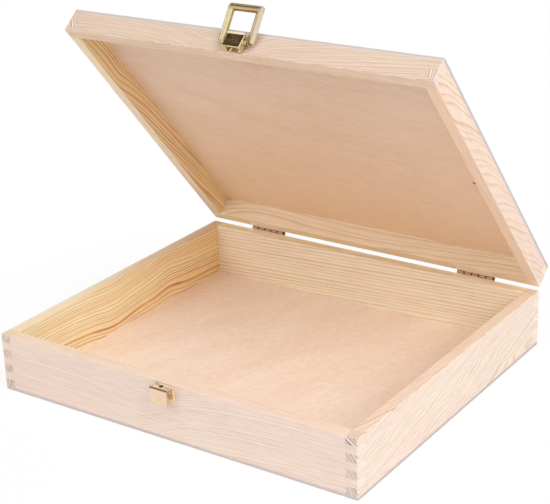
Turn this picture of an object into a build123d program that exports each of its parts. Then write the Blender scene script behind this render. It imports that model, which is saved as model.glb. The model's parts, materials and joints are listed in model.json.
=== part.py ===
from build123d import *
from math import cos, radians, sin
import os

# Wooden memory box with a hinged lid, a draw latch and a catch hook, in millimetres.
# The base stands on Z = 0, centred on the origin, with its front towards -Y.
# The lid stands open. Each of its pieces is drawn where it lies on the closed box,
# on planes that are swung round the hinge line with the lid.

os.makedirs("parts", exist_ok=True)

# Driving dimensions of the box
box_width = 340.0
box_depth = 296.0
board = 10.0  # thickness of the pine boards
ply = 3.0  # thickness of the floor and of the lid panel
finger = 6.75  # height of one finger of the corner joints
base_fingers = 7  # fingers of a corner of the base
lid_frame = 18.0  # height of the lid's boards
lid_first_finger = 3.3  # what the saw left of the finger at the lid's rim
rim_gap = 0.6  # space that the hinge leaves keep between the rims
corner_ease = 0.8
rim_ease = 0.4
lid_opening = 50.0

# Heights on the closed box
base_rim = ply + base_fingers * finger
lid_rim = base_rim + rim_gap
lid_roof = lid_rim + lid_frame
lid_tongue = lid_rim + lid_first_finger
inner_width = box_width - 2 * board
inner_depth = box_depth - 2 * board
front = -box_depth / 2
back = box_depth / 2

# Butt hinges
hinge_x = 109.0
hinge_length = 35.0
hinge_reach = 8.0  # how far a leaf lies over the rim
leaf = 1.0
leaf_gap = 0.3  # between the two leaves when the lid is shut
mortise = leaf - (rim_gap - leaf_gap) / 2
barrel_radius = 2.2
knuckles = 5
knuckle = hinge_length / knuckles
side_play = 0.3
pin_radius = 1.0
running = 0.05  # radial clearance of what turns on a pin
hinge_y = back + 2.9
hinge_z = base_rim + rim_gap / 2

# Countersunk screws of the hinges
screw_spread = 11.0
screw_back = 4.0  # from the back face of the box
screw_head = 1.9
screw_neck = 1.0
head_depth = screw_head - screw_neck
screw_core = 0.9
screw_length = 8.0
screw_slot = 0.5
shank_sides = 8  # the shanks are hidden in the wood, so few faces do

# Draw latch: "up" is measured from the lid's rim, "out" from its front face
sheet = 0.8
lever_half = 8.2
plate_half = 7.1
lever_top = 8.4
lever_low = 0.9
lever_high = 12.3
lever_lip = 1.3
lever_bend = 0.7
lever_pin_out = 5.0
lever_pin_up = 3.2
loop_pin_out = 4.0
loop_pin_up = 8.0
boss = 2.3
plate_high = 13.5
plate_nails = [(-4.2, 2.6), (4.2, 2.6), (0, 11.2)]  # x, up
loop_half = 16.4
loop_arm = 6.2
loop_bar = 5.8
loop_inside = 24.0  # from the loop's pins to the inner edge of its bar
loop_foot = -0.3
loop_thick = 3.0
loop_corner = 3.0
loop_bevel = 1.6
loop_bevel_depth = 0.9
loop_lean = 16.5  # how far the loop stands off the lid's face, in degrees
lug = 1.8
lug_root = 5.0  # how far a lug runs up the arm, from the pin
rivet_head = 1.6
rivet_rise = 0.4  # how far a rivet's head stands off the lever's side
rivet_shoulder = 2.0
pin_play = 0.15  # end play of the loop's pins

# Catch hook on the base
hook_half = 8.2
hook_out = 9.1
hook_sheet = 1.5
hook_top = base_rim - 1.6
hook_seat = 35.4  # height of the turned-in edge that the loop pulls against
hook_bend = 1.6
hook_hole = 1.5
seat_half = 4.6
seat_reach = 4.0
horn_inner = 5.4
horn_drop = 1.2
hook_nails = [(-4.6, 42.9), (4.6, 42.9)]  # x, height

# Nails of the hook and of the latch plate
nail_head = 1.4
nail_crown = 0.7
nail_dome = 0.5
nail_shank = 0.6
nail_length = 8.0


def on_lid(plane):
    """The same plane, carried round the hinge line with the open lid."""
    to_hinge = Pos(0, hinge_y, hinge_z)
    from_hinge = Pos(0, -hinge_y, -hinge_z)
    return Plane(to_hinge * Rot(-lid_opening, 0, 0) * from_hinge * plane.location)


def on_base(plane):
    """The plane itself: the base stays where it is drawn."""
    return plane


def across(x):
    """A plane that looks along X: its own x runs back and its own y runs up."""
    return Plane(origin=(x, 0, 0), x_dir=(0, 1, 0), z_dir=(1, 0, 0))


def facing_front(y):
    """A plane that looks out of the front: its own y runs up."""
    return Plane(origin=(0, y, 0), x_dir=(1, 0, 0), z_dir=(0, -1, 0))


def beside(out, up):
    """A point of the latch seen from the side, in the coordinates of across()."""
    return (front - out, lid_rim + up)


def seat_on(plane, x, y):
    """The same plane with its origin at one of its own points."""
    return Plane(plane.from_local_coords((x, y, 0)), x_dir=plane.x_dir, z_dir=plane.z_dir)


def screw_blank(seat):
    """A countersunk screw before its slot is sawn, its head flush with the seat plane."""
    lengthwise = Plane(seat.origin, x_dir=seat.x_dir, z_dir=-seat.y_dir)
    with BuildPart() as blank:
        with BuildSketch(lengthwise):
            with BuildLine():
                Polyline((0, 0), (screw_head, 0), (screw_neck, -head_depth), (0, -head_depth), close=True)
            make_face()
        revolve(axis=Axis(seat.origin, seat.z_dir))
        with BuildSketch(seat):
            RegularPolygon(screw_core, shank_sides)
        extrude(amount=-screw_length)
    return blank.part


def wood_screw(seat):
    """The same screw with its slot."""
    with BuildPart() as screw:
        add(screw_blank(seat))
        with BuildSketch(seat):
            Rectangle(2 * screw_head, screw_slot)
        extrude(amount=-head_depth / 2, mode=Mode.SUBTRACT)
    return screw.part


def brass_nail(seat):
    """A nail with a low head, which stands on the seat plane."""
    lengthwise = Plane(seat.origin, x_dir=seat.x_dir, z_dir=-seat.y_dir)
    with BuildPart() as nail:
        with BuildSketch(lengthwise):
            with BuildLine():
                Polyline((0, 0), (nail_head, 0), (nail_crown, nail_dome), (0, nail_dome), close=True)
            make_face()
        revolve(axis=Axis(seat.origin, seat.z_dir))
        with BuildSketch(seat):
            RegularPolygon(nail_shank, shank_sides)
        extrude(amount=-nail_length)
    return nail.part


def board_face(inner, overall, bottom, top, tongues):
    """One board seen flat: the length between the corners, and its fingers."""
    with BuildSketch() as face:
        with Locations((0, (bottom + top) / 2)):
            Rectangle(inner, top - bottom)
        for low, high in tongues:
            with Locations((0, (low + high) / 2)):
                Rectangle(overall, high - low)
    return face.sketch


# Fingers, as spans of height. Those at the floor belong to the side boards
base_spans = [(ply + number * finger, ply + (number + 1) * finger) for number in range(base_fingers)]
lid_spans = [(lid_rim, lid_tongue), (lid_tongue, lid_tongue + finger), (lid_tongue + finger, lid_roof)]
base_side = board_face(inner_depth, box_depth, ply, base_rim, base_spans[0::2])
base_long = board_face(inner_width, box_width, ply, base_rim, base_spans[1::2])
lid_long = board_face(inner_width, box_width, lid_rim, lid_roof, lid_spans[0::2])
lid_side = board_face(inner_depth, box_depth, lid_rim, lid_roof, lid_spans[1::2])

# The two frames as they leave the sander, before the boards are told apart
with BuildPart() as base_blank:
    with BuildSketch(Plane.XY.offset(ply)) as outline:
        Rectangle(box_width, box_depth)
        chamfer(outline.vertices(), length=corner_ease)
        Rectangle(inner_width, inner_depth, mode=Mode.SUBTRACT)
    extrude(amount=base_rim - ply)
    chamfer(base_blank.faces().sort_by(Axis.Z)[-1].edges(), length=rim_ease)

lid_down = on_lid(Plane(origin=(0, 0, lid_roof), x_dir=(1, 0, 0), z_dir=(0, 0, -1)))
with BuildPart() as lid_blank:
    with BuildSketch(lid_down) as outline:
        Rectangle(box_width, box_depth)
        chamfer(outline.vertices(), length=corner_ease)
        Rectangle(inner_width, inner_depth, mode=Mode.SUBTRACT)
    extrude(amount=lid_frame)
    rim_axis = Axis(lid_down.origin, lid_down.z_dir)
    chamfer(lid_blank.faces().sort_by(rim_axis)[-1].edges(), length=rim_ease)

# Screws and nails, each made where it sits
base_leaf_face = Plane.XY.offset(hinge_z - leaf_gap / 2)
lid_leaf_face = on_lid(Plane(origin=(0, 0, hinge_z + leaf_gap / 2), x_dir=(1, 0, 0), z_dir=(0, 0, -1)))
screw_x = [side * hinge_x + step for side in (-1, 1) for step in (-screw_spread, screw_spread)]
base_seats = [seat_on(base_leaf_face, x, back - screw_back) for x in screw_x]
lid_seats = [seat_on(lid_leaf_face, x, screw_back - back) for x in screw_x]
base_screws = [wood_screw(seat) for seat in base_seats]
lid_screws = [wood_screw(seat) for seat in lid_seats]
base_screw_holes = [screw_blank(seat) for seat in base_seats]
lid_screw_holes = [screw_blank(seat) for seat in lid_seats]
hook_face = facing_front(front - hook_sheet)
hook_pins = [brass_nail(seat_on(hook_face, x, height)) for x, height in hook_nails]
plate_face = on_lid(facing_front(front - sheet))
plate_pins = [brass_nail(seat_on(plate_face, x, lid_rim + up)) for x, up in plate_nails]

# Base boards
with BuildPart() as base_front_board:
    add(base_blank.part)
    with BuildSketch(facing_front(front + board)):
        add(base_long)
    extrude(amount=board, mode=Mode.INTERSECT)
    for nail in hook_pins:
        add(nail, mode=Mode.SUBTRACT)
base_front_board.part.label = "base_front_board"
export_step(base_front_board.part, "parts/base_front_board.step")

with BuildPart() as base_back_board:
    add(base_blank.part)
    with BuildSketch(facing_front(back)):
        add(base_long)
    extrude(amount=board, mode=Mode.INTERSECT)
    with BuildSketch(Plane.XY.offset(base_rim)):
        with Locations((-hinge_x, back - hinge_reach / 2), (hinge_x, back - hinge_reach / 2)):
            Rectangle(hinge_length, hinge_reach)
    extrude(amount=-mortise, mode=Mode.SUBTRACT)
    for hole in base_screw_holes:
        add(hole, mode=Mode.SUBTRACT)
base_back_board.part.label = "base_back_board"
export_step(base_back_board.part, "parts/base_back_board.step")

with BuildPart() as base_left_board:
    add(base_blank.part)
    with BuildSketch(across(-box_width / 2)):
        add(base_side)
    extrude(amount=board, mode=Mode.INTERSECT)
base_left_board.part.label = "base_left_board"
export_step(base_left_board.part, "parts/base_left_board.step")

with BuildPart() as base_right_board:
    add(base_blank.part)
    with BuildSketch(across(box_width / 2 - board)):
        add(base_side)
    extrude(amount=board, mode=Mode.INTERSECT)
base_right_board.part.label = "base_right_board"
export_step(base_right_board.part, "parts/base_right_board.step")

# Plywood floor, glued under the frame and flush with its sides
with BuildPart() as base_bottom_panel:
    with BuildSketch(Plane.XY) as outline:
        Rectangle(box_width, box_depth)
        chamfer(outline.vertices(), length=corner_ease)
    extrude(amount=ply)
    chamfer(base_bottom_panel.faces().sort_by(Axis.Z)[0].edges(), length=rim_ease)
base_bottom_panel.part.label = "base_bottom_panel"
export_step(base_bottom_panel.part, "parts/base_bottom_panel.step")

# Lid boards
with BuildPart() as lid_front_board:
    add(lid_blank.part)
    with BuildSketch(on_lid(facing_front(front + board))):
        add(lid_long)
    extrude(amount=board, mode=Mode.INTERSECT)
    for nail in plate_pins:
        add(nail, mode=Mode.SUBTRACT)
lid_front_board.part.label = "lid_front_board"
export_step(lid_front_board.part, "parts/lid_front_board.step")

with BuildPart() as lid_back_board:
    add(lid_blank.part)
    with BuildSketch(on_lid(facing_front(back))):
        add(lid_long)
    extrude(amount=board, mode=Mode.INTERSECT)
    with BuildSketch(on_lid(Plane.XY.offset(lid_rim))):
        with Locations((-hinge_x, back - hinge_reach / 2), (hinge_x, back - hinge_reach / 2)):
            Rectangle(hinge_length, hinge_reach)
    extrude(amount=mortise, mode=Mode.SUBTRACT)
    for hole in lid_screw_holes:
        add(hole, mode=Mode.SUBTRACT)
lid_back_board.part.label = "lid_back_board"
export_step(lid_back_board.part, "parts/lid_back_board.step")

with BuildPart() as lid_left_board:
    add(lid_blank.part)
    with BuildSketch(on_lid(across(-box_width / 2))):
        add(lid_side)
    extrude(amount=board, mode=Mode.INTERSECT)
lid_left_board.part.label = "lid_left_board"
export_step(lid_left_board.part, "parts/lid_left_board.step")

with BuildPart() as lid_right_board:
    add(lid_blank.part)
    with BuildSketch(on_lid(across(box_width / 2 - board))):
        add(lid_side)
    extrude(amount=board, mode=Mode.INTERSECT)
lid_right_board.part.label = "lid_right_board"
export_step(lid_right_board.part, "parts/lid_right_board.step")

# Plywood panel on top of the lid's frame
with BuildPart() as lid_top_panel:
    with BuildSketch(on_lid(Plane.XY.offset(lid_roof))) as outline:
        Rectangle(box_width, box_depth)
        chamfer(outline.vertices(), length=corner_ease)
    extrude(amount=ply)
    roof_axis = Axis(lid_down.origin, -lid_down.z_dir)
    chamfer(lid_top_panel.faces().sort_by(roof_axis)[-1].edges(), length=rim_ease)
lid_top_panel.part.label = "lid_top_panel"
export_step(lid_top_panel.part, "parts/lid_top_panel.step")

# Hinges: flat leaves let into the rims, and a barrel of five knuckles that they share.
# The base's knuckles grip the pin and the lid's knuckles turn on it
leaf_inner = back - hinge_reach
leaf_outer = hinge_y - barrel_radius - side_play
base_leaf_low = hinge_z - leaf_gap / 2 - leaf
lid_leaf_low = hinge_z + leaf_gap / 2
for side, middle in (("left", -hinge_x), ("right", hinge_x)):
    first = middle - hinge_length / 2
    for half, swing, low, own_knuckles, bore, holes in (
        ("base", on_base, base_leaf_low, (0, 2, 4), pin_radius, base_screw_holes),
        ("lid", on_lid, lid_leaf_low, (1, 3), pin_radius + running, lid_screw_holes),
    ):
        with BuildPart() as hinge_leaf:
            with BuildSketch(swing(across(first))):
                with Locations(((leaf_inner + leaf_outer) / 2, low + leaf / 2)):
                    Rectangle(leaf_outer - leaf_inner, leaf)
            extrude(amount=hinge_length)
            for number in own_knuckles:
                with BuildSketch(swing(across(first + number * knuckle + side_play / 2))):
                    with Locations((hinge_y, hinge_z)):
                        Circle(barrel_radius)
                    with Locations(((leaf_outer + hinge_y) / 2, low + leaf / 2)):
                        Rectangle(hinge_y - leaf_outer, leaf)
                    with Locations((hinge_y, hinge_z)):
                        Circle(bore, mode=Mode.SUBTRACT)
                extrude(amount=knuckle - side_play)
            for hole in holes:
                add(hole, mode=Mode.SUBTRACT)
        hinge_leaf.part.label = f"hinge_{side}_{half}_leaf"
        export_step(hinge_leaf.part, f"parts/hinge_{side}_{half}_leaf.step")

    with BuildPart() as hinge_pin:
        with BuildSketch(across(first)):
            with Locations((hinge_y, hinge_z)):
                Circle(pin_radius)
        extrude(amount=hinge_length)
    hinge_pin.part.label = f"hinge_{side}_pin"
    export_step(hinge_pin.part, f"parts/hinge_{side}_pin.step")

for name, group in (
    ("hinge_base_screws", base_screws),
    ("hinge_lid_screws", lid_screws),
    ("hook_nails", hook_pins),
    ("latch_plate_nails", plate_pins),
):
    with BuildPart() as fasteners:
        for piece in group:
            add(piece)
    fasteners.part.label = name
    export_step(fasteners.part, f"parts/{name}.step")

# Catch hook: back plate, shelf and flap bent from one strip. The middle of the flap's
# lower edge turns in as the seat of the loop, and a horn at each side keeps it there
flap_inner = front - hook_out + hook_sheet
hook_height = hook_top - hook_seat
with BuildPart() as hook_plate:
    with BuildSketch(across(-hook_half)) as strip:
        with Locations((front - hook_out / 2, hook_seat + hook_height / 2)):
            Rectangle(hook_out, hook_height)
        fillet(strip.vertices().group_by(Axis.Y)[-1].sort_by(Axis.X)[0], radius=hook_bend)
        with Locations((front - hook_out / 2, hook_seat + hook_height / 2 - hook_sheet)):
            Rectangle(hook_out - 2 * hook_sheet, hook_height, mode=Mode.SUBTRACT)
    extrude(amount=2 * hook_half)
    with BuildSketch(across(-seat_half)):
        with Locations((flap_inner + seat_reach / 2, hook_seat + hook_sheet / 2)):
            Rectangle(seat_reach, hook_sheet)
    extrude(amount=2 * seat_half)
    for x in (-hook_half, horn_inner):
        with BuildSketch(across(x)):
            with Locations((flap_inner - hook_sheet / 2, hook_seat - horn_drop / 2)):
                Rectangle(hook_sheet, horn_drop)
        extrude(amount=hook_half - horn_inner)
    with BuildSketch(Plane.XY.offset(hook_top)):
        with Locations((0, front - hook_out / 2)):
            Circle(hook_hole)
    extrude(amount=-hook_sheet, mode=Mode.SUBTRACT)
    for nail in hook_pins:
        add(nail, mode=Mode.SUBTRACT)
hook_plate.part.label = "hook_plate"
export_step(hook_plate.part, "parts/hook_plate.step")

# Latch plate: nailed to the lid, with an ear at each side for the lever's pin
lever_pin_at = beside(lever_pin_out, lever_pin_up)
loop_pin_at = beside(loop_pin_out, loop_pin_up)
turning_hole = pin_radius + running
with BuildPart() as latch_plate:
    with BuildSketch(on_lid(facing_front(front))):
        with Locations((0, lid_rim + (lever_low + plate_high) / 2)):
            Rectangle(2 * plate_half, plate_high - lever_low)
    extrude(amount=sheet)
    for x in (-plate_half, plate_half - sheet):
        with BuildSketch(on_lid(across(x))):
            with Locations(lever_pin_at):
                Circle(boss)
            with Locations(beside(lever_pin_out / 2, lever_pin_up)):
                Rectangle(lever_pin_out, 2 * boss)
            with Locations(lever_pin_at):
                Circle(turning_hole, mode=Mode.SUBTRACT)
        extrude(amount=sheet)
    for nail in plate_pins:
        add(nail, mode=Mode.SUBTRACT)
latch_plate.part.label = "latch_plate"
export_step(latch_plate.part, "parts/latch_plate.step")

# Lever: a channel over the ears, with a thumb lip at its free end
lever_inside = lever_top - sheet
out_of_lid = Axis(plate_face.origin, plate_face.z_dir)
lip_inside = lever_high - sheet / 2
with BuildPart() as latch_lever:
    with BuildSketch(on_lid(across(-lever_half))):
        with Locations(lever_pin_at, loop_pin_at):
            Circle(boss)
        with Locations(beside(lever_inside, (lever_low + lever_high) / 2)):
            Rectangle(2 * sheet, lever_high - lever_low)
        make_hull()
    extrude(amount=2 * lever_half)
    lever_front = latch_lever.faces().sort_by(out_of_lid)[-1]
    fillet(lever_front.edges().filter_by(Axis.X, reverse=True), radius=lever_bend)
    with BuildSketch(on_lid(across(sheet - lever_half))):
        with Locations(beside(0, lever_high / 2)):
            Rectangle(2 * lever_inside, 4 * lever_high)
    extrude(amount=2 * (lever_half - sheet), mode=Mode.SUBTRACT)
    with BuildSketch(on_lid(across(-lever_half))):
        with BuildLine():
            Polyline(
                beside(lever_inside, lever_high),
                beside(lever_inside + lever_lip, lever_high + lever_lip),
                beside(lever_inside + lever_lip + sheet / 2, lip_inside + lever_lip),
                beside(lever_top, lip_inside),
                beside(lever_top, lever_high - sheet),
                beside(lever_inside, lever_high - sheet),
                close=True,
            )
        make_face()
    extrude(amount=2 * lever_half)
    with BuildSketch(on_lid(across(-lever_half))):
        with Locations(lever_pin_at):
            Circle(pin_radius)
        with Locations(loop_pin_at):
            Circle(turning_hole)
    extrude(amount=2 * lever_half, mode=Mode.SUBTRACT)
latch_lever.part.label = "latch_lever"
export_step(latch_lever.part, "parts/latch_lever.step")

# Lever pin: riveted over at both sides of the lever
with BuildPart() as lever_pin:
    for start, end, radius in (
        (-lever_half - rivet_rise, -lever_half, rivet_head),
        (-lever_half, lever_half, pin_radius),
        (lever_half, lever_half + rivet_rise, rivet_head),
    ):
        with BuildSketch(on_lid(across(start))):
            with Locations(lever_pin_at):
                Circle(radius)
        extrude(amount=end - start)
lever_pin.part.label = "lever_pin"
export_step(lever_pin.part, "parts/lever_pin.step")

# Loop pins: a head inside the lever, a shoulder between lever and loop, a tail in the lug
arm_inner = loop_half - loop_arm
head_outer = lever_half - sheet - pin_play
with BuildPart() as loop_pins:
    for start, end, radius in (
        (head_outer - sheet, head_outer, rivet_head),
        (head_outer, arm_inner + lug - pin_play, pin_radius),
        (lever_half + pin_play, arm_inner - pin_play, rivet_shoulder),
    ):
        for x in (start, -end):
            with BuildSketch(on_lid(across(x))):
                with Locations(loop_pin_at):
                    Circle(radius)
            extrude(amount=end - start)
loop_pins.part.label = "loop_pins"
export_step(loop_pins.part, "parts/loop_pins.step")

# Loop: a rectangular frame with bevelled edges, open at the foot, with a lug at each foot
lean = radians(loop_lean)
loop_y, loop_z = loop_pin_at
loop_up = Vector(0, -sin(lean), cos(lean))
loop_out = Vector(0, -cos(lean), -sin(lean))


def loop_face(height):
    """The plane of the loop, its own y running from the pins to the bar."""
    middle = Vector(0, loop_y, loop_z) + loop_out * height
    return on_lid(Plane(origin=middle, x_dir=(1, 0, 0), z_dir=loop_out))


def loop_side(x):
    """A plane across the loop at its pins: its own x runs towards the bar."""
    return on_lid(Plane(origin=(x, loop_y, loop_z), x_dir=loop_up, z_dir=(1, 0, 0)))


loop_top = loop_inside + loop_bar
through_loop = Axis(loop_face(0).origin, loop_face(0).z_dir)
along_loop = Axis(loop_face(0).origin, loop_face(0).y_dir)
with BuildPart() as latch_loop:
    with BuildSketch(loop_face(-loop_thick / 2)) as frame:
        with Locations((0, (loop_foot + loop_top) / 2)):
            Rectangle(2 * loop_half, loop_top - loop_foot)
        fillet(frame.vertices().sort_by(Axis.Y)[-2:], radius=loop_corner)
        Rectangle(2 * arm_inner, 2 * loop_inside, mode=Mode.SUBTRACT)
    extrude(amount=loop_thick)
    for end in (0, -1):
        flat = latch_loop.faces().sort_by(through_loop)[end]
        long_edges = flat.edges().filter_by_position(along_loop, loop_inside / 4, loop_top)
        chamfer(long_edges, length=loop_bevel, length2=loop_bevel_depth, reference=flat)
    for x in (arm_inner, -arm_inner - lug):
        with BuildSketch(loop_side(x)):
            Circle(boss)
            with Locations((lug_root / 2, 0)):
                Rectangle(lug_root, loop_thick)
            make_hull()
        extrude(amount=lug)
        with BuildSketch(loop_side(x)):
            Circle(turning_hole)
        extrude(amount=lug, mode=Mode.SUBTRACT)
latch_loop.part.label = "latch_loop"
export_step(latch_loop.part, "parts/latch_loop.step")
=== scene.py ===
# %% [markdown]
# # A wooden memory box
#
# This notebook dresses a shallow pine box: two finger-jointed frames, a plywood floor and
# lid panel, two small butt hinges, a draw latch and a catch hook. The pieces come from a
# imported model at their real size, in metres, and stay exactly where they are. What is left
# to do is what the eye judges first: wood that looks sawn from a tree, plywood that looks
# peeled and glued, brass that looks pressed and polished, and plain soft light.

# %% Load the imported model
import json
import math

import bpy
from mathutils import Matrix, Quaternion, Vector

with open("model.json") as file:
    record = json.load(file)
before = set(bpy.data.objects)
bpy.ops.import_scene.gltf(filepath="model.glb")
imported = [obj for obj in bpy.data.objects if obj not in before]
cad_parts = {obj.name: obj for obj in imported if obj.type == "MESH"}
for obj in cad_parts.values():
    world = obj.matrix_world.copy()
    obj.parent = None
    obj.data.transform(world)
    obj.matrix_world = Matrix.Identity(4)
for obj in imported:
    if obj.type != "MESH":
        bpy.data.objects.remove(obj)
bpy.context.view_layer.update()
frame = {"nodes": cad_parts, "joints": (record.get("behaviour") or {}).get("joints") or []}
nodes = frame["nodes"]
mm = 0.001

# %% [markdown]
# ## The camera
#
# The view is that of a long lens on a product table: from the right, a little above, so
# that the front, the right side and the inside of the lid all show. It could be placed by
# eye, but the corners of a box give a camera away: with the box's size known, each corner
# seen in a picture fixes two numbers. The camera stands where those corners agree, and it
# is named here by the point it looks at and a slight roll, which are easy to read.

# %% Camera
scene = bpy.context.scene
camera_place = Vector((0.6462, -0.9219, 0.5611))
camera_target = Vector((-0.0027, 0.0, 0.1040))
camera_roll = math.radians(-2.11)
camera_lens, camera_sensor = 97.3, 36.0  # millimetres
camera_shift = (0.0096, -0.0014)  # parts of the picture's width


def aim(thing, place, target, roll=0.0):
    """Puts a camera, a lamp or a card at a place, with its -Z towards a target."""
    facing = (target - Vector(place)).to_track_quat("-Z", "Y")
    thing.location = place
    thing.rotation_mode = "QUATERNION"
    thing.rotation_quaternion = facing @ Quaternion((0, 0, 1), roll)


camera_data = bpy.data.cameras.new("camera")
camera_data.lens, camera_data.sensor_width = camera_lens, camera_sensor
camera_data.shift_x, camera_data.shift_y = camera_shift
camera_data.clip_end = 50.0
camera = bpy.data.objects.new("camera", camera_data)
scene.collection.objects.link(camera)
aim(camera, camera_place, camera_target, camera_roll)
scene.camera = camera
print(f"camera {(camera_target - camera_place).length:.2f} m from the middle of the view")

# %% [markdown]
# ## Writing materials in code
#
# Every finish below is a small network of nodes. Written out in full, such a network is
# long and hides its own idea, so a few helpers carry the repeated part: they add a node,
# do a sum on numbers or on vectors, mix two colours, turn a number into a shade by a ramp,
# and lay smooth random values. Colours are given as they look on a screen, from 0 to 255,
# and turned into the linear values that light is reckoned in.


# %% Helpers for nodes and sums
def shade(red, green, blue):
    """A screen colour, 0 to 255, as linear light."""
    linear = []
    for value in (red, green, blue):
        part = value / 255
        linear.append(part / 12.92 if part <= 0.04045 else ((part + 0.055) / 1.055) ** 2.4)
    return (*linear, 1.0)


def add_node(tree, kind, settings=None, inputs=None):
    """A node with its settings, its fixed inputs and its incoming links."""
    made = tree.nodes.new("ShaderNode" + kind)
    for name, value in (settings or {}).items():
        setattr(made, name, value)
    for name, value in (inputs or {}).items():
        if isinstance(value, bpy.types.NodeSocket):
            tree.links.new(value, made.inputs[name])
        else:
            made.inputs[name].default_value = value
    return made


def reckon(tree, operation, *values):
    """The result of one sum on numbers or sockets."""
    return add_node(tree, "Math", {"operation": operation}, dict(enumerate(values))).outputs[0]


def reckon_vector(tree, operation, first, second):
    """The result of one sum on two vectors, which for a distance or a product is a number."""
    made = add_node(tree, "VectorMath", {"operation": operation}, {0: first, 1: second})
    return made.outputs["Value" if operation in ("DISTANCE", "DOT_PRODUCT") else "Vector"]


def split(tree, vector):
    """The three parts of a vector."""
    return tuple(add_node(tree, "SeparateXYZ", inputs={0: vector}).outputs)


print("helpers for nodes and sums ready")


# %% Helpers for colours and random values
def mix_colours(tree, amount, first, second, how="MIX"):
    """Two colours mixed by an amount from 0 to 1."""
    settings = {"data_type": "RGBA", "blend_type": how, "clamp_factor": True}
    return add_node(tree, "Mix", settings, {0: amount, 6: first, 7: second}).outputs[2]


def ramp(tree, amount, stops):
    """A number sent through a ramp of (place, shade) stops."""
    made = add_node(tree, "ValToRGB", inputs={"Fac": amount})
    band = made.color_ramp
    for place, _ in stops[1:-1]:
        band.elements.new(place)
    for element, (place, value) in zip(band.elements, stops):
        element.position = place
        element.color = value if isinstance(value, tuple) else (value, value, value, 1.0)
    return made.outputs["Color"]


def noise(tree, where, scale, detail=2.0, roughness=0.5):
    """Smooth random values around 0.5, in three dimensions."""
    inputs = {"Vector": where, "Scale": scale, "Detail": detail, "Roughness": roughness}
    return add_node(tree, "TexNoise", inputs=inputs).outputs[0]


def long_noise(tree, where, sizes, detail=2.0, roughness=0.5):
    """Smooth random values in patches with a length along each axis, in metres."""
    factors = tuple(1 / size for size in sizes)
    return noise(tree, reckon_vector(tree, "MULTIPLY", where, factors), 1.0, detail, roughness)


def noise_along(tree, number, scale):
    """Smooth random values that change with one number."""
    inputs = {"W": number, "Scale": scale, "Detail": 1.0}
    return add_node(tree, "TexNoise", {"noise_dimensions": "1D"}, inputs).outputs[0]


def darken(tree, colour, amount, values, span, shadow):
    """A colour with a shadow where values are under the span, and none where they are over."""
    low, high = span
    shades = ramp(tree, values, [(low, shadow), (high, (1.0, 1.0, 1.0, 1.0))])
    return mix_colours(tree, amount, colour, shades, "MULTIPLY")


print("helpers for colours and random values ready")


# %% Helpers for whole materials
def new_material(name):
    """An empty material with a principled shader: (material, tree, shader)."""
    material = bpy.data.materials.new(name)
    material.use_nodes = True
    tree = material.node_tree
    tree.nodes.clear()
    shader = add_node(tree, "BsdfPrincipled")
    add_node(tree, "OutputMaterial", inputs={"Surface": shader.outputs[0]})
    return material, tree, shader


def fine_relief(tree, shader, height, strength, depth):
    """Gives a shader a fine relief, seen as light and shade; depth is in metres."""
    inputs = {"Strength": strength, "Distance": depth, "Height": height}
    bump = add_node(tree, "Bump", inputs=inputs)
    tree.links.new(bump.outputs[0], shader.inputs["Normal"])


def finish_with(name, material):
    """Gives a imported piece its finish."""
    for slot in nodes[name].material_slots:
        slot.material = material


print("helpers for materials ready")

# %% [markdown]
# ## Where a board was in the tree
#
# Wood has no pattern painted on it. Its lines are growth rings, cut open by the saw, and
# the same ring shows on a face, turns over an edge and comes out as an arc on the end of
# the board. So the pattern is made solid: each point of a board is asked how far it lies
# from the heart of its tree. For that the box is thought of as shut, and a point's place
# is read as along the grain, up the board and through it. The lid stands open, so its
# points are first turned back round the hinge.

# %% Coordinates on the shut box
lid_joint = next(joint for joint in frame["joints"] if joint["name"] == "lid_hinge")
hinge_line = Vector(lid_joint["pos_m"])
lid_opening = math.radians(50)
shut_turn = Matrix.Rotation(lid_opening, 3, "X")
shut_shift = tuple(hinge_line - shut_turn @ hinge_line)


def on_shut_box(tree, on_lid):
    """Place and outward normal of a point, as on the shut box."""
    here = add_node(tree, "TexCoord")
    place, outward = here.outputs["Object"], here.outputs["Normal"]
    if on_lid:
        turn = (lid_opening, 0, 0)
        inputs = {"Vector": place, "Rotation": turn, "Location": shut_shift}
        place = add_node(tree, "Mapping", {"vector_type": "POINT"}, inputs).outputs[0]
        inputs = {"Vector": outward, "Rotation": turn}
        outward = add_node(tree, "Mapping", {"vector_type": "VECTOR"}, inputs).outputs[0]
    return place, outward


def grain_frame(tree, place, outward, run):
    """A point as (along, up, through) the board, and how far its face is an end or a rim."""
    along, through = (0, 1) if run == "X" else (1, 0)
    axes, facing = split(tree, place), split(tree, outward)
    parts = (axes[along], axes[2], axes[through])
    board_place = add_node(tree, "CombineXYZ", inputs=dict(enumerate(parts))).outputs[0]
    end_cut = reckon(tree, "ABSOLUTE", facing[along])
    rim = reckon(tree, "ABSOLUTE", facing[2])
    return board_place, parts, end_cut, rim


print(f"lid turned back by {math.degrees(lid_opening):.0f} degrees for its pattern")

# %% [markdown]
# ## Growth rings
#
# A pine ring is pale where the tree grew fast in spring, darkens slowly to an amber line
# in late summer, and starts pale again at once. Four things keep the rings from looking
# drawn. They wander a little. No two are equally wide or equally dark. Where the tree
# grew round a knot they dip, and a board sawn beside it shows the dip as a fold of lines.
# And some years leave more resin than others, which tints whole bands of rings.

# %% Where the rings lie
broad_waver = (0.12, 0.022, 0.030)  # metres along, up and through the board
close_waver = (0.030, 0.006, 0.008)


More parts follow.
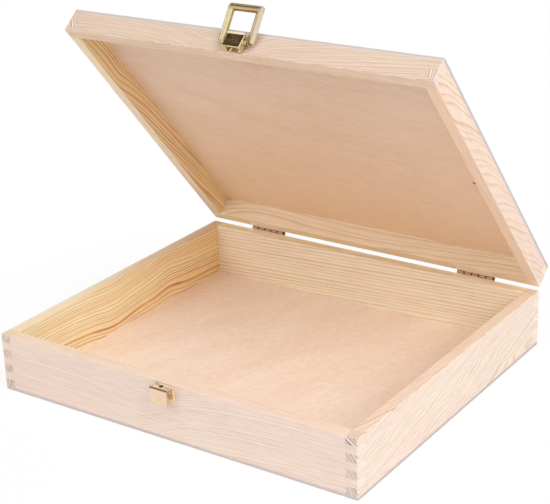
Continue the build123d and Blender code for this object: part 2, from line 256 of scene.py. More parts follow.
def ring_radius(tree, parts, log):
    """How far a point lies from the heart of its tree, with the dips round knots."""
    along, up, through = parts
    heart_up = reckon(tree, "MULTIPLY_ADD", along, log["drift"][0], log["heart"][0])
    heart_through = reckon(tree, "MULTIPLY_ADD", along, log["drift"][1], log["heart"][1])
    up = reckon(tree, "SUBTRACT", up, heart_up)
    through = reckon(tree, "SUBTRACT", through, heart_through)
    for fold_place, fold_depth, fold_width in log["folds"]:
        away = reckon(tree, "DIVIDE", reckon(tree, "SUBTRACT", along, fold_place), fold_width)
        dip = reckon(tree, "DIVIDE", fold_depth, reckon(tree, "MULTIPLY_ADD", away, away, 1.0))
        up = reckon(tree, "ADD", up, dip)
    squares = reckon(tree, "MULTIPLY_ADD", up, up, reckon(tree, "MULTIPLY", through, through))
    return reckon(tree, "SQRT", squares)


def wavering(tree, board_place, radius, log):
    """The radius as in real wood, where rings wander and no two are equally wide."""
    broad = long_noise(tree, board_place, broad_waver, 1.0)
    close = long_noise(tree, board_place, close_waver)
    radius = reckon(tree, "MULTIPLY_ADD", broad, 3.2 * log["wander"], radius)
    radius = reckon(tree, "MULTIPLY_ADD", close, 0.5 * log["wander"], radius)
    uneven = noise_along(tree, radius, 0.35 / log["ring"])
    return reckon(tree, "MULTIPLY_ADD", uneven, log["uneven"] * log["ring"], radius)


print("places of the rings ready")

# %% How dark the rings are
year_on_face = [(0.0, 0.15), (0.1, 0.0), (0.55, 0.06), (0.82, 0.6), (0.94, 1.0), (1.0, 0.3)]
year_on_end = [(0.0, 1.0), (0.12, 0.0), (0.5, 0.0), (0.68, 1.0), (1.0, 1.0)]
faintest_year = 0.45  # beside a strongest year of 1


def growth_rings(tree, board_place, parts, log):
    """Late wood on a face, rings on an end and resin, each from 0 to 1, for one log."""
    radius = wavering(tree, board_place, ring_radius(tree, parts, log), log)
    resin = noise_along(tree, radius, 0.13 / log["ring"])
    count = reckon(tree, "DIVIDE", radius, log["ring"])
    within, number = reckon(tree, "FRACT", count), reckon(tree, "FLOOR", count)
    lot = add_node(tree, "TexWhiteNoise", {"noise_dimensions": "1D"}, {"W": number}).outputs[0]
    strength = reckon(tree, "MULTIPLY_ADD", lot, 1 - faintest_year, faintest_year)
    late_wood = reckon(tree, "MULTIPLY", ramp(tree, within, year_on_face), strength)
    end_rings = reckon(tree, "MULTIPLY", ramp(tree, within, year_on_end), strength)
    return late_wood, end_rings, ramp(tree, resin, [(0.42, 0.0), (0.62, 1.0)])


print("growth rings ready")

# %% [markdown]
# ## Finger joints
#
# The boards meet in square fingers, sawn by a machine and glued. They fit so well that
# only a hairline shows where two fingers touch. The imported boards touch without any
# line at all, so the hairline is drawn by the material: dark where a point at the corner
# of the box lies within a tenth of a millimetre of the height where two fingers meet, or
# of the place where the fingers end.

# %% Hairlines of the finger joints
finger_height, hairline_reach = 6.75 * mm, 0.11 * mm


def joint_lines(tree, parts, first_finger, inner_length):
    """1 on a line between two fingers or at their ends, and 0 elsewhere."""
    along, up, _ = parts
    level = reckon(tree, "DIVIDE", reckon(tree, "SUBTRACT", up, first_finger), finger_height)
    to_line = reckon(tree, "MULTIPLY", reckon(tree, "PINGPONG", level, 0.5), finger_height)
    past_shoulder = reckon(tree, "SUBTRACT", reckon(tree, "ABSOLUTE", along), inner_length / 2)
    at_corner = reckon(tree, "GREATER_THAN", past_shoulder, -hairline_reach)
    on_line = reckon(tree, "LESS_THAN", to_line, hairline_reach)
    between = reckon(tree, "MULTIPLY", on_line, at_corner)
    shoulder = reckon(tree, "LESS_THAN", reckon(tree, "ABSOLUTE", past_shoulder), hairline_reach)
    return reckon(tree, "MAXIMUM", between, shoulder)


print("hairlines ready")

# %% [markdown]
# ## Pine
#
# Sanded pine that nothing has been rubbed into is pale and dull. Pink and yellow streaks
# lie side by side in it, fine fibres run through everything, and the end grain is a
# shade greyer than the faces, with the rings as thin dark lines. The faces and the ends
# are coloured apart, and one function joins them, so that the eight boards differ only in
# the log that they come from and in their look.

# %% Pine on a face
pinkish, yellowish = (1.0, 0.955, 0.935, 1.0), (1.0, 0.99, 0.92, 1.0)
fibre_shadow, fleck_shadow = (0.92, 0.90, 0.87, 1.0), (0.90, 0.865, 0.83, 1.0)


def warming(tree, along, span, amount):
    """How much painted warm shade a piece takes along a line: none at the first place, all at the
    second.
    """
    first, last = span
    part = reckon(tree, "DIVIDE", reckon(tree, "SUBTRACT", along, first), last - first)
    part = reckon(tree, "MINIMUM", reckon(tree, "MAXIMUM", part, 0.0), 1.0)
    return reckon(tree, "MULTIPLY", part, amount)


def pine_face(tree, board_place, along, rim, late_wood, resin, fibres, look):
    """Streaky spring wood with resin, the lines of late wood, and fibres over all of it."""
    streaks = long_noise(tree, board_place, (0.25, 0.008, 0.012), 3.0)
    fade = long_noise(tree, board_place, (0.09, 0.015, 0.02))
    flecks = long_noise(tree, board_place, (0.02, 0.0016, 0.0016))
    tint = ramp(tree, streaks, [(0.36, 0.0), (0.64, 1.0)])
    tint = mix_colours(tree, tint, pinkish, yellowish)
    ground = mix_colours(tree, 1.0, look["early"], tint, "MULTIPLY")
    resinous = reckon(tree, "MULTIPLY", resin, look["resin"])
    ground = mix_colours(tree, resinous, ground, look["warm"])
    # Painted warm shade along the board, in the colour of resin.
    ground = mix_colours(tree, warming(tree, along, *look["warming"]), ground, look["warm"])

    on_rim = ramp(tree, rim, [(0.5, 0.0), (0.9, 1.0)])
    fading = ramp(tree, fade, [(0.3, 0.55), (0.6, 1.0)])
    lines = reckon(tree, "MULTIPLY", late_wood, fading)
    lines = reckon(tree, "MULTIPLY", lines, look["contrast"])
    calm = reckon(tree, "MULTIPLY_ADD", on_rim, -look["calm_rim"], 1.0)
    colour = mix_colours(tree, reckon(tree, "MULTIPLY", lines, calm), ground, look["late"])
    colour = darken(tree, colour, 0.7, fibres, (0.25, 0.6), fibre_shadow)
    colour = darken(tree, colour, 0.7, flecks, (0.3, 0.6), fleck_shadow)
    # The narrow faces get a painted tint, lighter, darker or warmer, for the light that falls on
    # them.
    return mix_colours(tree, on_rim, colour, look["rim"], "MULTIPLY")


print("pine faces ready")

# %% Pine on a sawn end
end_ground, end_line, end_pore = shade(229, 209, 198), shade(134, 104, 94), shade(196, 166, 146)


def pine_end(tree, board_place, end_rings, look):
    """Cut fibres, a shade greyer than the faces, with thin dark rings and open pores."""
    pores = long_noise(tree, board_place, (0.004, 0.0005, 0.0005))
    colour = mix_colours(tree, 0.82 * look["end"], look["cut"], end_ground)
    colour = mix_colours(tree, reckon(tree, "MULTIPLY", end_rings, look["end"]), colour, end_line)
    return mix_colours(tree, ramp(tree, pores, [(0.4, 0.2), (0.6, 0.0)]), colour, end_pore)


print("pine ends ready")

# %% Pine
hairline_brown = shade(150, 112, 84)


def bare_wood(tree, shader, colour, fibres, height, relief, dullest):
    """Sends a bare wood's colour, fine relief and dull sheen to its shader."""
    tree.links.new(colour, shader.inputs["Base Color"])
    rough = ramp(tree, fibres, [(0.3, dullest), (0.7, 0.5)])
    tree.links.new(rough, shader.inputs["Roughness"])
    shader.inputs["Specular IOR Level"].default_value = 0.3
    fine_relief(tree, shader, height, *relief)


def pine(name, run, on_lid, fingers, log, look):
    """Sanded pine: the log says where its rings lie, the look says how strong they are."""
    material, tree, shader = new_material(name)
    place, outward = on_shut_box(tree, on_lid)
    board_place, parts, end_cut, rim = grain_frame(tree, place, outward, run)
    late_wood, end_rings, resin = growth_rings(tree, board_place, parts, log)
    fibres = long_noise(tree, board_place, (0.012, 0.00045, 0.00045), 3.0, 0.6)

    colour = pine_face(tree, board_place, parts[0], rim, late_wood, resin, fibres, look)
    cut_across = ramp(tree, end_cut, [(0.6, 0.0), (0.9, 1.0)])
    colour = mix_colours(tree, cut_across, colour, pine_end(tree, board_place, end_rings, look))
    hairline = joint_lines(tree, parts, *fingers)
    colour = mix_colours(tree, reckon(tree, "MULTIPLY", hairline, 0.13), colour, hairline_brown)

    height = reckon(tree, "MULTIPLY_ADD", late_wood, 0.5, fibres)
    height = reckon(tree, "MULTIPLY_ADD", hairline, -2.0, height)
    bare_wood(tree, shader, colour, fibres, height, (0.25, 0.1 * mm), 0.62)
    return material


print("pine ready")

# %% [markdown]
# ## The eight boards
#
# No two boards of a box come from the same place in the log. The two fronts are mild, and
# their lines dip to a fold near the middle. The right sides were cut at a slant to the
# grain, so that the rings run off across the edge. The left boards are resinous, with
# strong orange lines and a soft S in them, and the backs are straight and calm, apart
# from one fold at the left end of the lid's. The heart of each is placed well outside the
# board, as it is for any board that is sawn from a thick log, and the drift says how far
# the heart wanders off per metre of board.

# %% Logs and looks
box_width, box_depth, board = 340 * mm, 296 * mm, 10 * mm
base_first_finger, lid_first_finger = 3 * mm, 54.15 * mm  # heights on the shut box


def log_of(heart, drift, ring, folds=(), wander=1.2 * mm, uneven=1.6):
    """Where rings lie: the heart as (height, depth), the width of a ring, folds in metres."""
    return dict(heart=heart, drift=drift, ring=ring, folds=folds, wander=wander, uneven=uneven)


def look_of(early, late, contrast, **others):
    """The colours of spring wood and late wood, how strong the lines are, and the rest."""
    look = {"early": early, "late": late, "contrast": contrast}
    look["resin"] = 0.0  # how strong the resinous bands are
    # Painted warm shade: between which places the board darkens to a warm shade, and how much.
    look["warming"] = ((0.0, 1.0), 0.0)  # between which places the board warms, and how much
    # The colour of resin, and of the painted warm shade.
    look["warm"] = late  # the colour of resin and of warming
    # The rim tint is painted light: it makes the narrow faces lighter, darker or warmer as light
    # falls on them.
    look["rim"] = (0.97, 0.92, 0.84, 1.0)  # a tint for the narrow faces
    look["calm_rim"] = 0.5  # how much weaker the lines are on them
    look["end"] = 0.5  # how strong the rings are on a sawn end
    look["cut"] = early  # the ground of a sawn end where they are weak
    look.update(others)
    return look


def finish_board(name, run, log, look):
    """Gives one board its pine."""
    on_lid = name.startswith("lid")
    first_finger = lid_first_finger if on_lid else base_first_finger
    inner_length = (box_width if run == "X" else box_depth) - 2 * board
    fingers = (first_finger, inner_length)
    finish_with(name, pine("pine_" + name, run, on_lid, fingers, log, look))


print("logs and looks ready")

# %% Boards of the base
# Each rim tint below is painted light on the narrow faces of that board.
finish_board(
    "base_front_board", "X",
    log_of((-0.090, -0.240), (0.02, 0.03), 1.7 * mm, [(-0.026, 0.022, 0.030)]),
    look_of(shade(239, 222, 213), shade(192, 158, 142), 0.65, end=0.15,
            rim=(1.06, 1.0, 0.93, 1.0), cut=shade(253, 238, 226)),
)
finish_board(
    "base_right_board", "Y",
    log_of((-0.030, 0.080), (0.17, 0.05), 1.9 * mm, wander=2.6 * mm),
    look_of(shade(247, 233, 223), shade(210, 166, 142), 0.85, end=0.9, calm_rim=0.0),
)
finish_board(
    "base_back_board", "X",
    log_of((-0.110, 0.090), (0.03, 0.05), 3.1 * mm, wander=0.6 * mm, uneven=0.7),
    look_of(shade(255, 243, 222), shade(190, 138, 82), 0.80, end=0.15),
)
# The base's left board takes a painted warm shade towards the back, where the open lid shades it.
finish_board(
    "base_left_board", "Y",
    log_of((-0.030, -0.060), (0.04, 0.03), 1.5 * mm,
           [(-0.020, 0.006, 0.030), (0.060, -0.004, 0.020)], wander=0.9 * mm),
    look_of(shade(255, 250, 214), shade(190, 106, 40), 1.05, resin=0.24, end=0.9,
            warming=((-0.06, 0.14), 0.28), warm=shade(250, 170, 70),
            rim=(0.93, 0.94, 1.12, 1.0)),
)
print("four boards of the base in pine")

# %% Boards of the lid
# Each rim tint below is painted light on the narrow faces of that board.
finish_board(
    "lid_front_board", "X",
    log_of((-0.020, -0.240), (0.03, 0.03), 1.5 * mm, [(-0.022, 0.024, 0.040)]),
    look_of(shade(223, 203, 188), shade(160, 114, 84), 0.66, end=0.18,
            rim=(1.10, 1.08, 1.04, 1.0), calm_rim=0.0, cut=shade(248, 228, 213)),
)
finish_board(
    "lid_right_board", "Y",
    log_of((0.030, 0.070), (0.0, 0.125), 1.6 * mm, wander=1.8 * mm),
    look_of(shade(244, 224, 210), shade(206, 154, 124), 0.62, end=0.7,
            rim=(0.98, 0.93, 0.85, 1.0), calm_rim=0.0),
)
finish_board(
    "lid_back_board", "X",
    log_of((0.000, 0.060), (0.02, 0.06), 3.0 * mm, [(-0.130, -0.024, 0.060)], wander=2.0 * mm),
    look_of(shade(253, 236, 213), shade(186, 130, 70), 0.66, end=0.15),
)
finish_board(
    "lid_left_board", "Y",
    log_of((0.010, -0.230), (0.04, 0.03), 2.0 * mm, [(-0.075, 0.004, 0.020)], wander=1.3 * mm),
    look_of(shade(255, 232, 186), shade(140, 64, 14), 1.1, resin=0.35, end=0.9,
            warm=shade(246, 172, 92), rim=(0.92, 1.0, 1.32, 1.0), calm_rim=0.55),
)
print("four boards of the lid in pine")

# %% [markdown]
# ## Plywood
#
# The floor and the lid panel are three veneers, peeled off a turning log and glued with
# the grain crossed. Peeling follows the rings instead of crossing them, so the face has
# a faint, cloudy figure and hardly a line, only short fibres. The rings of the pine could
# be cut nearly flat for that, but soft random clouds, drawn out along the grain, come
# closer with less. The floor's fibres run from front to back, and the lid's run across, a
# little askew, with one small pin knot by the right side. Inside the lid the veneer is
# painted darker and warmer, for the shade of the open lid and the warm light bounced from
# the box, most of all towards the hinges, and outside it is as pale as the floor.
# On the edge the layers show, but faintly: three pale veneers and the thin dark lines of
# glue between them.

# %% Veneer
contour_line = [(0.0, 0.15), (0.45, 0.0), (0.86, 0.8), (0.94, 1.0), (1.0, 0.2)]
contour_brown, warm_shade_veneer = shade(190, 140, 100), shade(244, 214, 181)
dash_shadow, thread_shadow = (0.90, 0.87, 0.84, 1.0), (0.94, 0.92, 0.90, 1.0)


def veneer_colour(tree, veneer_place, depth, facing, fibres, look):
    """A peeled face: clouds, faint contours, and short dashes and fibres over them."""
    drift = long_noise(tree, veneer_place, (0.30, 0.10, 0.5))
    clouds = long_noise(tree, veneer_place, (0.16, 0.030, 0.5), 4.0, 0.55)
    contour = reckon(tree, "FRACT", reckon(tree, "MULTIPLY_ADD", drift, 7.0, clouds))
    lines = reckon(tree, "MULTIPLY", ramp(tree, contour, contour_line), look["lines"])
    cloudy = reckon(tree, "MULTIPLY", ramp(tree, clouds, [(0.35, 0.0), (0.68, 1.0)]), 0.6)
    colour = mix_colours(tree, cloudy, look["base"], look["figure"])
    colour = mix_colours(tree, lines, colour, contour_brown)
    # Painted warm shade, strongest towards the hinges, for the shade inside the open lid.
    warm_shade = warming(tree, depth, (-0.14, 0.14), look["warmth"])
    colour = mix_colours(tree, warm_shade, colour, warm_shade_veneer)
    if "outside" in look:
        outer = ramp(tree, facing, [(0.3, 0.0), (0.6, 1.0)])
        colour = mix_colours(tree, outer, colour, mix_colours(tree, cloudy, *look["outside"]))
    length, width = look["dash"]
    dashes = long_noise(tree, veneer_place, (length, width, width), 4.0, 0.6)
    colour = darken(tree, colour, 0.9, dashes, (0.3, 0.62), dash_shadow)
    return darken(tree, colour, 0.6, fibres, (0.25, 0.6), thread_shadow)


print("veneer ready")

# %% Pin knot and edge
ply_thickness, lid_panel_low = 3.0 * mm, 68.85 * mm
knot_place, knot_radius = (141.0 * mm, 20.3 * mm, lid_panel_low), 2.2 * mm
knot_brown = shade(104, 66, 42)


def with_pin_knot(tree, place, colour):
    """A colour with one small dark knot in it."""
    to_knot = reckon_vector(tree, "DISTANCE", place, knot_place)
    knot = ramp(tree, reckon(tree, "DIVIDE", to_knot, knot_radius), [(0.4, 0.8), (1.0, 0.0)])
    return mix_colours(tree, knot, colour, knot_brown)


def ply_layers(tree, height, low):
    """The three veneers and their glue, as a sawn edge shows them."""
    level = reckon(tree, "DIVIDE", reckon(tree, "SUBTRACT", height, low), ply_thickness)
    pale, core, glue = shade(212, 201, 198), shade(198, 187, 184), shade(138, 120, 114)
    layers = [(0.0, core), (0.04, pale), (0.30, pale), (0.33, glue), (0.36, core)]
    layers += [(0.64, core), (0.67, glue), (0.70, pale), (0.95, pale), (1.0, glue)]
    return ramp(tree, level, layers)


print("pin knot and edge ready")


# %% Plywood
def plywood(name, on_lid, low, look):
    """Three-ply panel whose underside lies at height low on the shut box."""
    material, tree, shader = new_material(name)
    place, outward = on_shut_box(tree, on_lid)
    _, depth, height = split(tree, place)
    facing = split(tree, outward)[2]
    inputs = {"Vector": place, "Rotation": (0, 0, math.radians(look["turn"]))}
    veneer_place = add_node(tree, "Mapping", {"vector_type": "POINT"}, inputs).outputs[0]
    fibres = long_noise(tree, veneer_place, (0.010, 0.0005, 0.0005), 3.0, 0.6)
    colour = veneer_colour(tree, veneer_place, depth, facing, fibres, look)
    if on_lid:
        colour = with_pin_knot(tree, place, colour)
    on_edge = ramp(tree, reckon(tree, "ABSOLUTE", facing), [(0.3, 1.0), (0.6, 0.0)])
    colour = mix_colours(tree, on_edge, colour, ply_layers(tree, height, low))
    bare_wood(tree, shader, colour, fibres, fibres, (0.2, 0.08 * mm), 0.6)
    return material


floor_look = dict(turn=104.0, dash=(7.0 * mm, 3.2 * mm), lines=0.06, warmth=0.0,
                  base=shade(252, 234, 218), figure=shade(244, 219, 197))
# Inside, the lid panel's base and figure are painted darker than its outside, for the shade
# inside the open lid.
lid_look = dict(turn=-12.0, dash=(14 * mm, 1.9 * mm), lines=0.12, warmth=1.0,
                base=shade(224, 200, 185), figure=shade(214, 186, 164),
                outside=(shade(250, 233, 216), shade(240, 217, 194)))
finish_with("base_bottom_panel", plywood("plywood_floor", False, 0.0, floor_look))
finish_with("lid_top_panel", plywood("plywood_lid", True, lid_panel_low, lid_look))
print("floor and lid panel in plywood")

# %% [markdown]
# ## Brass
#
# The fittings are cheap pressed brass, tumbled and lacquered. They come from three makers'
# bins: the latch is the yellowest, the hook is paler, and the hinges are dull. New brass
# is a clean, pale yellow mirror, but its shine is uneven: soft dents from the tumbler, hair
# scratches and a breath of tarnish in patches. Brown shade is also painted where two pieces
# meet: how much of the nearest millimetre and a half is closed off round a point sets how
# dark it is. A metal has no colour of its own apart from what it reflects, so the rest of
# its look comes from the room, further down.
#
# Three fittings need more than that, and each gets a function of its own for its wear and
# painted light. It takes the clean colour and gives back the marked one and the painted
# shade. The hinges come first. Their knuckles have dulled to brown, with dark seams between
# them and painted shade where the barrel meets the leaves, while the leaves are pale and
# hardly shine. Painting a picture of that onto each leaf is common. Here the distance from
# the hinge's own line tells the barrel from the leaves, and counting off widths of a
# knuckle from the middle finds the seams, so no picture has to be fitted.

# %% Wear and painted shade of the hinges
hinge_side, knuckle, barrel_radius = 109 * mm, 7 * mm, 2.2 * mm
knuckle_brown, leaf_pale = shade(196, 148, 84), shade(254, 236, 216)


def painted_corner_shade(tree, closed_off):
    """Painted brown shade in corners, where two pieces meet."""
    return ramp(tree, closed_off, [(0.35, 0.85), (0.8, 0.0)])


def knuckle_gaps(tree, place):
    """The dark seams between the five knuckles of a hinge, and its barrel, from 0 to 1."""
    sideways, depth, height = split(tree, place)
    from_middle = reckon(tree, "SUBTRACT", reckon(tree, "ABSOLUTE", sideways), hinge_side)
    from_middle = reckon(tree, "ABSOLUTE", from_middle)
    to_seam = reckon(tree, "ADD", from_middle, knuckle / 2)
    to_seam = reckon(tree, "PINGPONG", to_seam, knuckle / 2)
    across = reckon(tree, "SUBTRACT", depth, hinge_line.y)
    up = reckon(tree, "SUBTRACT", height, hinge_line.z)
    squares = reckon(tree, "MULTIPLY_ADD", across, across, reckon(tree, "MULTIPLY", up, up))
    on_barrel = reckon(tree, "LESS_THAN", squares, (barrel_radius + 0.1 * mm) ** 2)
    to_seam = reckon(tree, "DIVIDE", to_seam, knuckle / 2)
    seam = ramp(tree, to_seam, [(0.14, 1.0), (0.34, 0.0)])
    return reckon(tree, "MULTIPLY", seam, on_barrel), on_barrel


def hinge_wear_and_painted_shade(tree, shader, place, closed_off, clean):
    """Brown knuckles with dark seams, painted shade on the barrel, and pale leaves that hardly
    shine.
    """
    seam, on_barrel = knuckle_gaps(tree, place)
    knuckles = mix_colours(tree, 0.8, clean, knuckle_brown)
    colour = mix_colours(tree, on_barrel, leaf_pale, knuckles)
    metallic = reckon(tree, "MULTIPLY_ADD", on_barrel, 0.75, 0.25)
    tree.links.new(metallic, shader.inputs["Metallic"])
    # Painted shade on the barrel, where it meets the leaves and the boards.
    shade_and_marks = ramp(tree, closed_off, [(0.46, 1.0), (0.9, 0.0)])
    shade_and_marks = reckon(tree, "MULTIPLY", shade_and_marks, on_barrel)
    return colour, reckon(tree, "MAXIMUM", shade_and_marks, seam)


print("wear of the hinges ready")

# %% [markdown]
# The hook was tumbled longer than the rest: its flat top is satin, with streaks on it. Its
# back plate lies in shade inside the hook and is painted a lighter yellow and made satin,
# so that it looks lit. Its hole is painted dark as shade, and a painted dark reflection runs
# along the bend in front. Each of these could be a material of its own, but the hook is one
# strip, and they lie at known heights and depths, so it is enough to compare a point's
# place with those.

# %% Wear, painted light and painted shade of the hook
hook_hole = (0.0, -152.55 * mm, 0.0)
hook_bend = (0.0, -156.8 * mm, 48.1 * mm)
hook_top_low, hook_plate_face = 48.55 * mm, -150.2 * mm
hook_top_pale, hook_plate_painted_light = shade(248, 226, 192), shade(248, 222, 170)


def painted_dark_along(tree, place, axes, line, reach, stops):
    """A painted dark band round a straight line that runs along the axis whose factor is 0."""
    flat = reckon_vector(tree, "MULTIPLY", place, axes)
    away = reckon(tree, "DIVIDE", reckon_vector(tree, "DISTANCE", flat, line), reach)
    return ramp(tree, away, stops)


def hook_wear_and_painted_light(tree, shader, place, closed_off, clean):
    """Satin top with streaks, a back plate painted as lit, a hole painted dark as shade, and a
    painted dark reflection on the bend.
    """
    _, depth, height = split(tree, place)
    on_top = reckon(tree, "GREATER_THAN", height, hook_top_low)
    on_plate = reckon(tree, "GREATER_THAN", depth, hook_plate_face)
    on_plate = reckon(tree, "MULTIPLY", on_plate, reckon(tree, "SUBTRACT", 1.0, on_top))
    colour = mix_colours(tree, on_top, clean, hook_top_pale)
    # The back plate lies in shade inside the hook; it is painted a lighter yellow and made less
    # metallic, so that it looks lit.
    colour = mix_colours(tree, on_plate, colour, hook_plate_painted_light)
    satin = reckon(tree, "MAXIMUM", on_top, on_plate)
    metallic = reckon(tree, "MULTIPLY_ADD", satin, -0.6, 1.0)
    tree.links.new(metallic, shader.inputs["Metallic"])

    # The hole is painted dark as shade, and the bend gets a painted dark reflection.
    hole_shade = painted_dark_along(tree, place, (1, 1, 0), hook_hole, 3 * mm, [(0.55, 0.95), (0.75, 0.0)])
    bend_reflection = painted_dark_along(tree, place, (0, 1, 1), hook_bend, 1.4 * mm, [(0.35, 0.8), (0.7, 0.0)])
    shade_and_marks = reckon(tree, "MAXIMUM", painted_corner_shade(tree, closed_off), hole_shade)
    shade_and_marks = reckon(tree, "MAXIMUM", shade_and_marks, bend_reflection)
    # The back plate is painted as lit, so the painted corner shade is left off it.
    off_plate = reckon(tree, "MULTIPLY_ADD", on_plate, -0.95, 1.0)
    shade_and_marks = reckon(tree, "MULTIPLY", shade_and_marks, off_plate)
    rubbed = long_noise(tree, place, (0.006, 0.0009, 0.002))
    streaks = ramp(tree, rubbed, [(0.5, 0.0), (0.62, 0.6)])
    streaks = reckon(tree, "MULTIPLY", streaks, on_top)
    return colour, reckon(tree, "MAXIMUM", shade_and_marks, streaks)


print("wear of the hook ready")

# %% [markdown]
# The latch loop is stamped from sheet. Its limbs are softly crowned, and the die left two
# creases along them, shown by painted shade. The crown is a few tenths of a millimetre, too
# little for the outline and enough to bend a reflection, so it is a bump: the height falls
# off with the square of the distance from the middle line of the limb. The bar at the far
# end carries a painted dark reflection in brown, and the right limb a painted reflection,
# darker on its inner half and pale on its outer half.

# %% Painted reflections and shade of the latch loop
loop_pin = (0.0, -37.442 * mm, 287.92 * mm)
loop_direction = tuple(Vector((0.0, 0.55, 0.83)).normalized())
loop_limb_side, loop_bar_line = 13.3 * mm, 26.9 * mm
# Browns of the painted reflection on the bar and of the painted shade in the creases.
bar_reflection_brown, crease_shade_brown = shade(190, 150, 106), shade(146, 108, 60)
# Painted reflection on the right limb: darker on its inner half, pale on its outer half.
limb_reflection_shades = [(0.40, shade(188, 160, 130)), (0.5, shade(226, 206, 184))]
# Where painted shade lies in the two creases, across a limb.
creases = [(0.17, 0.6), (0.28, 0.5), (0.34, 0.0), (0.45, 0.0)]
creases += [(0.48, 0.5), (0.52, 0.5), (0.55, 0.0)]
ramps_per_metre = 100.0  # a ramp across a limb covers 10 mm, with the middle line at 0.5
crown_curve = -150.0  # 0.3 mm lower at 1.4 mm from the middle line


def loop_painted_light(tree, shader, place, closed_off, clean):
    """A soft crown on the limbs, painted shade in their creases, and painted reflections on the
    bar and the right limb.
    """
    sideways = split(tree, place)[0]
    from_pin = reckon_vector(tree, "SUBTRACT", place, loop_pin)
    upwards = reckon_vector(tree, "DOT_PRODUCT", from_pin, loop_direction)
    past_bar = reckon(tree, "SUBTRACT", upwards, loop_bar_line)
    past_limb = reckon(tree, "SUBTRACT", reckon(tree, "ABSOLUTE", sideways), loop_limb_side)
    from_line = reckon(tree, "MAXIMUM", past_limb, past_bar)
    on_bar = reckon(tree, "MULTIPLY_ADD", past_bar, 150.0, 0.5)
    # A painted dark reflection on the bar.
    colour = mix_colours(tree, ramp(tree, on_bar, [(0.0, 0.0), (0.4, 0.75)]), clean, bar_reflection_brown)
    # Where the painted reflection of the right limb lies.
    on_limb = ramp(tree, reckon(tree, "MULTIPLY", sideways, 60.0), [(0.6, 0.0), (0.75, 0.8)])
    over_limb = reckon(tree, "MULTIPLY_ADD", from_line, ramps_per_metre, 0.5)
    colour = mix_colours(tree, on_limb, colour, ramp(tree, over_limb, limb_reflection_shades))
    # Painted shade in the two creases.
    colour = mix_colours(tree, ramp(tree, over_limb, creases), colour, crease_shade_brown)

    crown = reckon(tree, "MULTIPLY", from_line, from_line)
    crown = reckon(tree, "MULTIPLY", crown, crown_curve)
    rounded = add_node(tree, "Bump", inputs={"Strength": 1.0, "Distance": 1.0, "Height": crown})
    dents = shader.inputs["Normal"].links[0].from_node
    tree.links.new(rounded.outputs[0], dents.inputs["Normal"])
    return colour, painted_corner_shade(tree, closed_off)


print("wear of the latch loop ready")

# %% Brass
# The brown of the painted corner shade; the hook's streaks and the hinge's seams use it too.
shade_and_marks_brown = shade(96, 66, 38)


def brass(name, polish, clean, tarnished, wear=None):
    """Polished brass with fine wear and painted shade in its corners; polish is its smallest
    roughness.
    """
    material, tree, shader = new_material(name)
    place = add_node(tree, "TexCoord").outputs["Object"]
    dents, patches = noise(tree, place, 420.0), noise(tree, place, 160.0, 3.0)
    scratches = long_noise(tree, place, (0.0016, 0.00012, 0.00016), 3.0, 0.65)
    height = reckon(tree, "MULTIPLY_ADD", scratches, 0.25, dents)
    fine_relief(tree, shader, height, 0.2, 0.06 * mm)
    shader.inputs["Metallic"].default_value = 1.0

    tarnish = ramp(tree, patches, [(0.42, 0.0), (0.72, 1.0)])
    colour = mix_colours(tree, reckon(tree, "MULTIPLY", tarnish, 0.45), clean, tarnished)
    # How closed off a point is sets the painted shade in its corners.
    near = {"Distance": 1.5 * mm}
    closed_off = add_node(tree, "AmbientOcclusion", {"samples": 6}, near).outputs["AO"]
    if wear:
        colour, shade_and_marks = wear(tree, shader, place, closed_off, colour)
    else:
        shade_and_marks = painted_corner_shade(tree, closed_off)
    colour = mix_colours(tree, shade_and_marks, colour, shade_and_marks_brown)
    tree.links.new(colour, shader.inputs["Base Color"])
    scratched = ramp(tree, scratches, [(0.45, 0.0), (0.75, 1.0)])
    dull = reckon(tree, "MULTIPLY_ADD", tarnish, 0.14, polish)
    rough = reckon(tree, "ADD", dull, reckon(tree, "MULTIPLY", scratched, 0.10))
    tree.links.new(rough, shader.inputs["Roughness"])
    return material


print("brass ready")

# %% Fittings
latch_brass = brass("brass_latch", 0.14, shade(243, 230, 198), shade(226, 204, 160))
loop_brass = brass("brass_loop", 0.16, shade(243, 230, 184), shade(224, 202, 144), loop_painted_light)
hook_brass = brass("brass_hook", 0.28, shade(242, 216, 187), shade(232, 202, 166), hook_wear_and_painted_light)
hinge_brass = brass("brass_hinge", 0.42, shade(250, 236, 220), shade(240, 218, 198), hinge_wear_and_painted_shade)
fittings = [("hinge", hinge_brass), ("hook", hook_brass), ("latch_loop", loop_brass)]
fittings += [(("latch", "lever", "loop"), latch_brass)]
for name in nodes:
    fitting_brass = next((metal for start, metal in fittings if name.startswith(start)), None)
    if fitting_brass:
        finish_with(name, fitting_brass)
print("fittings in brass")

# %% [markdown]
# ## Table, room and lamps
#
# The box stands on a white table in a white room. The table could be white paint, but
# then its white would depend on the lamps. Here it only sends out white where the
# camera or a shiny surface looks at it, and keeps part of its painted self near the box,
# so that a faint shadow stays under the box. For all other light it is plain paint.


# %% Helpers for the table, the room and the cards
def looked_at(tree):
    """1 where the camera, a shiny surface or glass looks, and 0 for all other light."""
    path = add_node(tree, "LightPath").outputs
    camera_or_gloss = reckon(tree, "MAXIMUM", path["Is Camera Ray"], path["Is Glossy Ray"])
    return reckon(tree, "MAXIMUM", camera_or_gloss, path["Is Transmission Ray"])


def send_out(tree, surface):
    """Sends a surface to the material's output, in place of the principled shader."""
    output = next(node for node in tree.nodes if node.type == "OUTPUT_MATERIAL")
    tree.links.new(surface, output.inputs["Surface"])


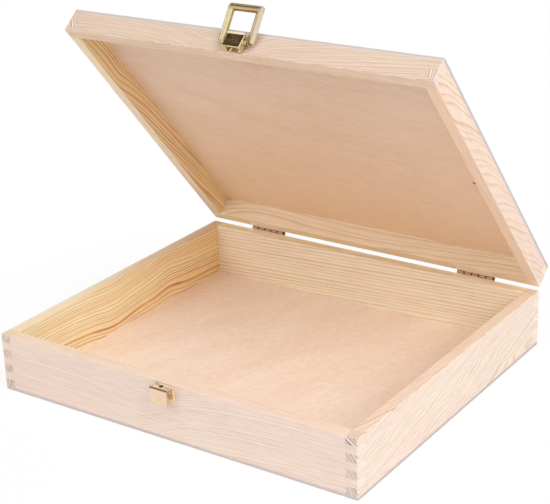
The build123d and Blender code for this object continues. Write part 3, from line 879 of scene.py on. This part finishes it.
def flat_sheet(name, width, height, material):
    """A flat rectangle in the scene, its middle at the origin."""
    x, y = width / 2, height / 2
    mesh = bpy.data.meshes.new(name)
    mesh.from_pydata([(-x, -y, 0), (x, -y, 0), (x, y, 0), (-x, y, 0)], [], [(0, 1, 2, 3)])
    mesh.materials.append(material)
    sheet = bpy.data.objects.new(name, mesh)
    scene.collection.objects.link(sheet)
    return sheet


print("helpers for the stage ready")


# %% Table
def white_table():
    """A table that looks white, with a faint shadow near the box."""
    material, tree, paint = new_material("table_white")
    paint.inputs["Base Color"].default_value = shade(250, 250, 250)
    paint.inputs["Roughness"].default_value = 0.9
    paint.inputs["Specular IOR Level"].default_value = 0.0
    glow = add_node(tree, "Emission", inputs={"Color": (1, 1, 1, 1), "Strength": 1.0}).outputs[0]
    place = add_node(tree, "TexCoord").outputs["Object"]
    distance = reckon_vector(tree, "DISTANCE", place, (0, 0, 0))
    far = ramp(tree, distance, [(0.20, 0.82), (0.36, 1.0)])
    seen = add_node(tree, "MixShader", inputs={0: far, 1: paint.outputs[0], 2: glow}).outputs[0]
    inputs = {0: looked_at(tree), 1: paint.outputs[0], 2: seen}
    send_out(tree, add_node(tree, "MixShader", inputs=inputs).outputs[0])
    return material


table_size = 12.0  # metres, so that its edge is far outside any view
table = flat_sheet("table", table_size, table_size, white_table())
print("table in place")

# %% [markdown]
# The room is lit evenly, which keeps the inside of the box open, and five large soft
# lamps give it direction. The strongest stands to the right, so that the right side is
# the brightest face. One at the front left and a weak low one fill the front and the
# inside of the lid, one overhead lifts the rims and the floor of the box, and one at the
# back keeps the outside of the lid from turning grey.

# %% Room and lamps
room_light = 0.245  # beside the 1.0 that the camera sees as white
lamp_size = 1.2
box_middle = Vector((0, 0, 0.08))


def white_room():
    """A world that lights the box softly and looks white."""
    world = bpy.data.worlds.new("room")
    world.use_nodes = True
    tree = world.node_tree
    tree.nodes.clear()
    inputs = {"Color": (1.0, 0.99, 0.98, 1), "Strength": room_light}
    light = add_node(tree, "Background", inputs=inputs).outputs[0]
    inputs = {"Color": (1, 1, 1, 1), "Strength": 1.0}
    white = add_node(tree, "Background", inputs=inputs).outputs[0]
    either = add_node(tree, "MixShader", inputs={0: looked_at(tree), 1: light, 2: white})
    add_node(tree, "OutputWorld", inputs={"Surface": either.outputs[0]})
    return world


def soft_lamp(name, place, watts):
    """A square area lamp that faces the box."""
    data = bpy.data.lights.new(name, "AREA")
    data.shape, data.size, data.energy = "SQUARE", lamp_size, watts
    lamp = bpy.data.objects.new(name, data)
    aim(lamp, place, box_middle)
    lamp.visible_glossy = False  # the brass would show the lamp as a burnt-out square
    scene.collection.objects.link(lamp)


scene.world = white_room()
soft_lamp("lamp_right", (1.6, -0.5, 1.4), 24.5)
soft_lamp("lamp_front", (-0.7, -1.5, 1.3), 10.6)
soft_lamp("lamp_top", (0.3, -0.3, 2.2), 12.5)
soft_lamp("lamp_low", (0.5, -2.0, 0.5), 6.5)
soft_lamp("lamp_back", (0.0, 1.9, 1.4), 13.0)
scene.view_settings.view_transform = "Standard"
print("room and five lamps on")

# %% [markdown]
# A polished metal in an all-white room looks like white plastic. Photographers put dark
# cards beside the camera's view, so that the metal has something dark to reflect and its
# edges can shine against it. Two cards hang here, one high over the left and one behind,
# and only reflections see them: they cast no shadow and take no light from the wood.

# %% Dark cards for the brass
card_brown = shade(74, 52, 30)
latch_middle = Vector((0, -0.04, 0.29))


def dark_card(name, place, width, height):
    """A card that faces the latch and that only shiny surfaces see."""
    material, tree, shader = new_material(name + "_paper")
    tree.nodes.remove(shader)
    paper = {"Color": card_brown, "Strength": 1.0}
    send_out(tree, add_node(tree, "Emission", inputs=paper).outputs[0])
    card = flat_sheet(name, width, height, material)
    aim(card, place, latch_middle)
    card.visible_camera = False
    card.visible_diffuse = False
    card.visible_transmission = False
    card.visible_shadow = False
    card.visible_volume_scatter = False


dark_card("card_overhead", (-0.81, 0.13, 1.43), 1.25, 1.25)
dark_card("card_back", (0.9, 1.9, 0.35), 1.6, 1.0)
print("two dark cards hung")
